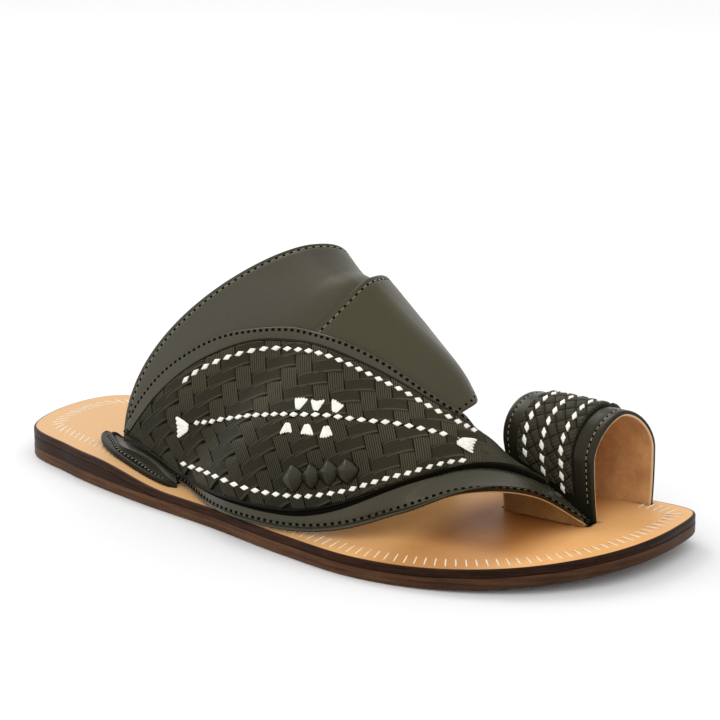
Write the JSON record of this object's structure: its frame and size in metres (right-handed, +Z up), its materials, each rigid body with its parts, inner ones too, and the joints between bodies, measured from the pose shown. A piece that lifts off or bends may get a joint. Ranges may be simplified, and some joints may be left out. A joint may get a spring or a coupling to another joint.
{
  "type": "arabic sandal",
  "caption": "Leather toe-loop sandal for the right foot with an instep band in two pieces, a woven leaf vamp and a ring for the big toe.",
  "frame": {"origin": "centre of the sandal's bounding box in plan, at the floor under the sole", "axes": "+X from the heel to the toe along the sole, +Y to the medial side, +Z up"},
  "size_m": [0.2844, 0.1126, 0.0992],
  "materials": {
    "outsole": "brown sole leather, satin edge",
    "wedge": "dark brown stacked leather, satin",
    "insole": "tan smooth leather, satin",
    "leather": "dark olive smooth leather, semi-gloss",
    "weave": "dark olive embossed leather, satin"
  },
  "bodies": {
    "root": {"outsole": "outsole", "heel_wedge": "wedge", "insole": "insole", "upper": "leather", "lateral_tab": "leather", "toe_loop": "leather", "woven_panel": "weave", "toe_loop_weave": "weave", "bead_1": "weave", "bead_2": "weave", "bead_3": "weave", "bead_4": "weave"}
  },
  "joints": []
}
